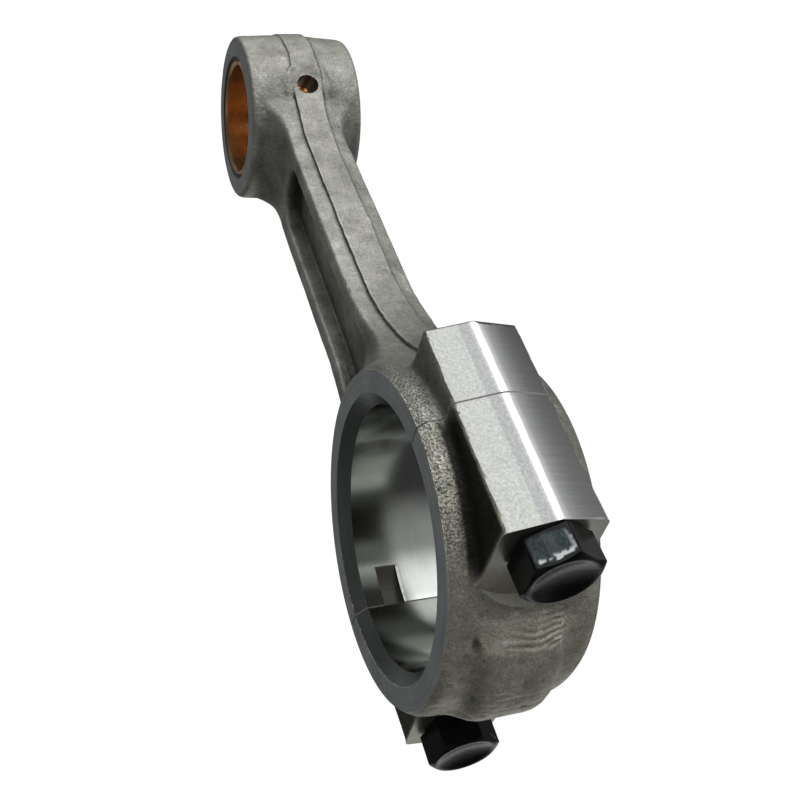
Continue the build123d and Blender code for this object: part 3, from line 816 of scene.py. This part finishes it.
def black_oxide():
    """Oiled black bolts, with bare steel where a spanner has scuffed them."""
    material, tree, shader, place = new_material("black_oxide_steel")
    cloud = noise(tree, place, 260, 5, 0.65)
    black = ramp(tree, cloud, [(0.35, BLACK_DEEP), (0.70, BLACK_SHEEN)])
    fine = noise(tree, mapped(tree, place, (500, 900, 900)), 1.0, 5, 0.8, 0.8)
    bare_tone = ramp(tree, fine, [(0.35, BARE_DARK), (0.62, BARE_MIDDLE), (0.80, BARE_LIGHT)])
    bare_tone = mixed(tree, bare_tone, SCRATCH, stored(tree, "scratch"))
    geometry = tree.nodes.new("ShaderNodeNewGeometry")
    edge = fade(tree, geometry.outputs["Pointiness"], 0.56, 0.66, 0.0, 0.35)
    bare = maths(tree, "MAXIMUM", stored(tree, "bare"), edge, clamp=True)
    tree.links.new(mixed(tree, black, bare_tone, bare), shader.inputs["Base Color"])
    tree.links.new(fade(tree, bare, 0.0, 1.0, 0.2, 0.9), shader.inputs["Metallic"])
    shader.inputs["Specular IOR Level"].default_value = 0.28
    tree.links.new(ramp(tree, cloud, [(0.3, 0.24), (0.7, 0.15)]), shader.inputs["Roughness"])
    bumped(tree, shader, [(noise(tree, place, 900, 3, 0.6), 0.04)])
    return material


def bronze():
    """The bush, turned all over, with marks around its axis."""
    material, tree, shader, place = new_material("bush_bronze")
    rings = noise(tree, mapped(tree, place, (120, 120, 2600)), 1.0, 3, 0.6)
    cloud = noise(tree, place, 160, 4, 0.6)
    colour = ramp(tree, cloud, [(0.3, (0.73, 0.46, 0.22)), (0.7, (0.94, 0.66, 0.38))])
    colour = mixed(tree, colour, ramp(tree, rings, [(0.3, 0.8), (0.7, 1.12)]), 1.0, "MULTIPLY")
    tree.links.new(colour, shader.inputs["Base Color"])
    shader.inputs["Metallic"].default_value = 0.95
    shader.inputs["Roughness"].default_value = 0.22
    bumped(tree, shader, [(rings, 0.008)])
    return material


forging = forged_steel("forged_skin")
thrust_steel = turned_steel("thrust_face_steel", (0.46, 0.50, 0.50), 0.34, 2400, 0.02)
chamfer_steel = turned_steel("housing_chamfer_steel", (0.30, 0.33, 0.31), 0.30, 2400, 0.02)
joint_steel = turned_steel("joint_face_steel", (0.55, 0.55, 0.54), 0.36, 900, 0.02)
hole_steel = turned_steel("drilled_steel", (0.16, 0.155, 0.145), 0.5, 1500, 0.05)
seat_steel = turned_steel("seat_steel", (0.46, 0.45, 0.40), 0.40, 1800, 0.03)
# Painted light: the bolt seats' walls are a near-white, mostly non-metallic copy of the seat steel, so that
# they read as lit
lit_wall_steel = turned_steel("seat_wall_steel", (0.90, 0.88, 0.80), 0.55, 1800, 0.03, metallic=0.25)
rod_bore_steel = honed_steel("rod_bore_steel", (0.50, 0.52, 0.49), (0.64, 0.66, 0.63))
# Painted shade: the cap's half of the bore is a darker copy of the rod's half
shaded_cap_bore_steel = honed_steel("shaded_cap_bore_steel", (0.16, 0.17, 0.15), (0.25, 0.26, 0.24))
boss_steel = ground_steel()
oxide = black_oxide()
bush_metal = bronze()

# In the order of the surface kinds
for piece, bore_steel in ((rod, rod_bore_steel), (cap, shaded_cap_bore_steel)):
    by_kind = (forging, thrust_steel, bore_steel, joint_steel, hole_steel,
               boss_steel, seat_steel, chamfer_steel, lit_wall_steel)
    for material in by_kind:
        piece.data.materials.append(material)
for piece in (near_bolt, far_bolt):
    piece.data.materials.append(oxide)
for entry in frame["nodes"]["small_end_bush"].material_slots:
    entry.material = bush_metal


# ---------------------------------------------------------------- stage, light and camera
CAMERA_AT = Vector((-0.11278, -0.17314, 0.08403))
CAMERA_AIM = Vector((0.04489, 0.00905, -0.00471))
CAMERA_ROLL = radians(-94.95)
CAMERA_LENS = 47.18

back = (CAMERA_AT - CAMERA_AIM).normalized()
camera = bpy.data.objects.new("camera", bpy.data.cameras.new("camera"))
camera.data.sensor_width = 36
camera.data.lens = CAMERA_LENS
camera.data.clip_start = 0.005
turn = (-back).to_track_quat("-Z", "Y").to_matrix().to_4x4() @ Matrix.Rotation(CAMERA_ROLL, 4, "Z")
camera.matrix_world = Matrix.Translation(CAMERA_AT) @ turn
bpy.context.scene.collection.objects.link(camera)
bpy.context.scene.camera = camera

bpy.context.scene.view_settings.view_transform = "Standard"

FLOOR_HALF = 3.0
FLOOR_GLOW = 0.965                  # brings the floor up to the plain white behind the part
floor_mesh = bpy.data.meshes.new("floor")
floor_z = cad_box[0].z - 0.00005
corners = [(FLOOR_HALF * a, FLOOR_HALF * b, floor_z) for a, b in ((-1, -1), (1, -1), (1, 1), (-1, 1))]
floor_mesh.from_pydata(corners, [], [(0, 1, 2, 3)])
floor = bpy.data.objects.new("floor", floor_mesh)
bpy.context.scene.collection.objects.link(floor)
floor_paint, _, shader, _ = new_material("floor_paint")
shader.inputs["Base Color"].default_value = (0.45, 0.45, 0.45, 1)
shader.inputs["Roughness"].default_value = 0.9
shader.inputs["Emission Color"].default_value = (1, 1, 1, 1)
shader.inputs["Emission Strength"].default_value = FLOOR_GLOW
floor_mesh.materials.append(floor_paint)

# Low side light reaches the part as if it stood clear of the floor
floor.visible_diffuse = False
floor.visible_glossy = False
floor.visible_shadow = False

# Lights of the studio: direction, cosine where it starts and where it is full, strength
LIGHTS = (
    ((0.614, -0.71, -0.346), 0.95, 1.0, 1.10),   # key, low beside the rod: the bright line of each boss
    ((0.42, -0.905, 0.05), 0.60, 0.95, 1.52),    # broad light from the same side: shank and upper facets
    ((-0.30, -0.90, -0.30), 0.55, 1.0, 0.36),    # its spill towards the cap
    ((0.61, 0.71, 0.35), 0.80, 0.97, 0.15),      # seen in the thrust faces
    ((0.60, 0.15, -0.79), 0.94, 1.0, 0.4),       # seen in one flat of the near bolt head
    ((-0.60, 0.20, -0.77), 0.90, 1.0, 0.30),     # seen round the back of the cap
    ((-0.15, -0.45, -0.88), 0.60, 1.0, 0.25),    # from below the cap
    ((-0.45, 0.82, -0.36), 0.90, 1.0, 0.42),     # seen in the bolt seats and dished heads
    ((0.05, 0.94, -0.34), 0.82, 1.0, 0.80),      # fill for the far side
    ((0.97, -0.25, 0.05), 0.88, 1.0, 0.50),      # fill for the end of the small end
    ((-0.85, 0.15, 0.50), 0.90, 1.0, 0.35),      # fill for the back of the cap
    ((0.0, 0.15, 0.99), 0.94, 1.0, 0.35),        # small top light
)
AMBIENT = 0.06


def studio():
    """Soft studio surroundings made of smooth lobes; the camera itself sees plain white."""
    world = bpy.data.worlds.new("studio")
    bpy.context.scene.world = world
    world.use_nodes = True
    tree = world.node_tree
    tree.nodes.clear()
    direction = tree.nodes.new("ShaderNodeTexCoord").outputs["Generated"]
    light = AMBIENT
    for towards, start, full, strength in LIGHTS:
        dot = tree.nodes.new("ShaderNodeVectorMath")
        dot.operation = "DOT_PRODUCT"
        tree.links.new(direction, dot.inputs[0])
        dot.inputs[1].default_value = Vector(towards).normalized()
        light = maths(tree, "ADD", fade(tree, dot.outputs["Value"], start, full, 0.0, strength), light)
    background = tree.nodes.new("ShaderNodeBackground")
    tree.links.new(light, background.inputs["Strength"])
    seen = tree.nodes.new("ShaderNodeBackground")
    seen.inputs["Color"].default_value = (1, 1, 1, 1)
    chooser = tree.nodes.new("ShaderNodeMixShader")
    rays = tree.nodes.new("ShaderNodeLightPath")
    tree.links.new(rays.outputs["Is Camera Ray"], chooser.inputs["Fac"])
    tree.links.new(background.outputs["Background"], chooser.inputs[1])
    tree.links.new(seen.outputs["Background"], chooser.inputs[2])
    output = tree.nodes.new("ShaderNodeOutputWorld")
    tree.links.new(chooser.outputs["Shader"], output.inputs["Surface"])


studio()
